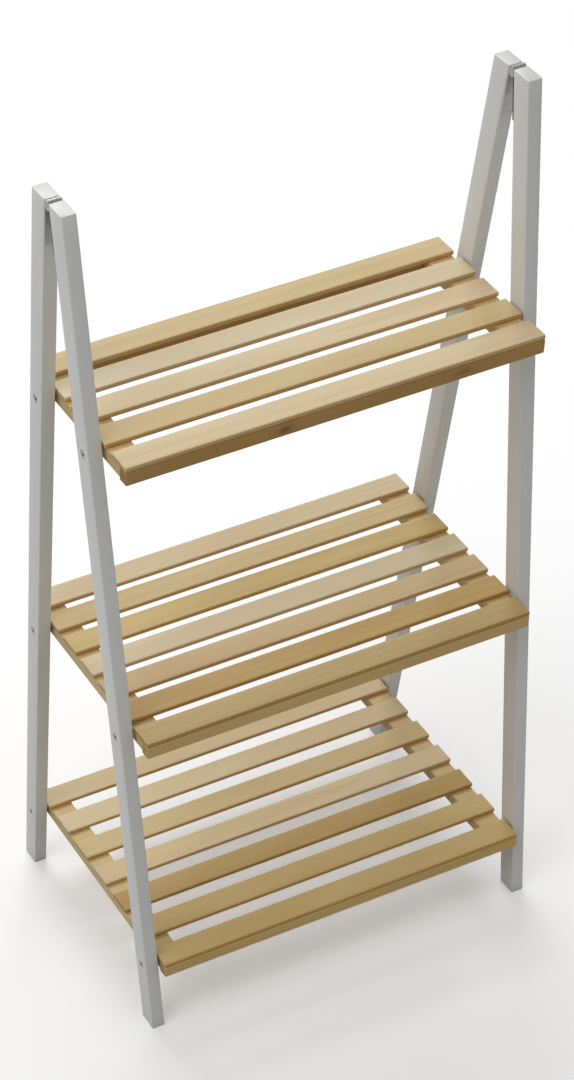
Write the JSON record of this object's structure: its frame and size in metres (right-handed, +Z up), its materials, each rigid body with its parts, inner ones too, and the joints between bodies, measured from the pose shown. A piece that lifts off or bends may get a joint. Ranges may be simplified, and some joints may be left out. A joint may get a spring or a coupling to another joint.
{
  "type": "ladder shelf",
  "caption": "Folding ladder shelf: white hinged A-frames of slim timber carry slatted natural wood shelves that grow deeper towards the floor.",
  "frame": {"origin": "on the floor, midway between the two frames and midway between the front and rear feet", "axes": "+Z up, +X along the slats to the right seen from the front, -Y towards the front"},
  "size_m": [0.55, 0.3822, 0.9612],
  "materials": {
    "white_paint": "white satin paint on wood",
    "pine": "natural, clear matt finish",
    "beech": "plain",
    "zinc_steel": "zinc plated",
    "brass": "plain",
    "grey_nylon": "matt"
  },
  "bodies": {
    "rear_frame": {"rear_leg_left": "white_paint", "rear_leg_right": "white_paint", "rear_hinge_leaf_left": "zinc_steel", "rear_hinge_leaf_right": "zinc_steel", "rear_hinge_screws": "zinc_steel", "hinge_pin_left": "zinc_steel", "hinge_pin_right": "zinc_steel"},
    "front_frame": {"front_leg_left": "white_paint", "front_leg_right": "white_paint", "front_hinge_leaf_left": "zinc_steel", "front_hinge_leaf_right": "zinc_steel", "front_hinge_screws": "zinc_steel", "front_support_bolts": "zinc_steel"},
    "top_shelf": {"top_slat_1": "pine", "top_slat_2": "pine", "top_slat_3": "pine", "top_slat_4": "pine", "top_slat_5": "pine", "top_side_rail_left": "pine", "top_side_rail_right": "pine", "top_front_rail": "pine", "top_back_rail": "pine", "top_panel_pins": "zinc_steel", "top_dowels": "beech", "top_pivot_bolts": "zinc_steel", "top_threaded_inserts": "brass", "top_pivot_spacers": "grey_nylon"},
    "middle_shelf": {"middle_slat_1": "pine", "middle_slat_2": "pine", "middle_slat_3": "pine", "middle_slat_4": "pine", "middle_slat_5": "pine", "middle_slat_6": "pine", "middle_slat_7": "pine", "middle_side_rail_left": "pine", "middle_side_rail_right": "pine", "middle_front_rail": "pine", "middle_back_rail": "pine", "middle_panel_pins": "zinc_steel", "middle_dowels": "beech", "middle_pivot_bolts": "zinc_steel", "middle_threaded_inserts": "brass", "middle_pivot_spacers": "grey_nylon"},
    "bottom_shelf": {"bottom_slat_1": "pine", "bottom_slat_2": "pine", "bottom_slat_3": "pine", "bottom_slat_4": "pine", "bottom_slat_5": "pine", "bottom_slat_6": "pine", "bottom_slat_7": "pine", "bottom_side_rail_left": "pine", "bottom_side_rail_right": "pine", "bottom_front_rail": "pine", "bottom_back_rail": "pine", "bottom_panel_pins": "zinc_steel", "bottom_dowels": "beech", "bottom_pivot_bolts": "zinc_steel", "bottom_threaded_inserts": "brass", "bottom_pivot_spacers": "grey_nylon"}
  },
  "joints": [
    {"name": "frame_fold", "type": "hinge", "parent": "rear_frame", "child": "front_frame", "pos_m": [0, 0, 0.956], "axis": [1, 0, 0], "range_deg": [0, 18.6]},
    {"name": "top_shelf_tip", "type": "hinge", "parent": "rear_frame", "child": "top_shelf", "pos_m": [0, 0.05841, 0.722], "axis": [-1, 0, 0], "range_deg": [0, 80.6]},
    {"name": "middle_shelf_tip", "type": "hinge", "parent": "rear_frame", "child": "middle_shelf", "pos_m": [0, 0.11163, 0.397], "axis": [-1, 0, 0], "range_deg": [0, 80.6]},
    {"name": "bottom_shelf_tip", "type": "hinge", "parent": "rear_frame", "child": "bottom_shelf", "pos_m": [0, 0.16248, 0.0865], "axis": [-1, 0, 0], "range_deg": [0, 69.8]}
  ],
  "couplings": [
    {"joint": "top_shelf_tip", "follows": "frame_fold", "ratio": 4.33},
    {"joint": "middle_shelf_tip", "follows": "frame_fold", "ratio": 4.33},
    {"joint": "bottom_shelf_tip", "follows": "frame_fold", "ratio": 3.75}
  ]
}
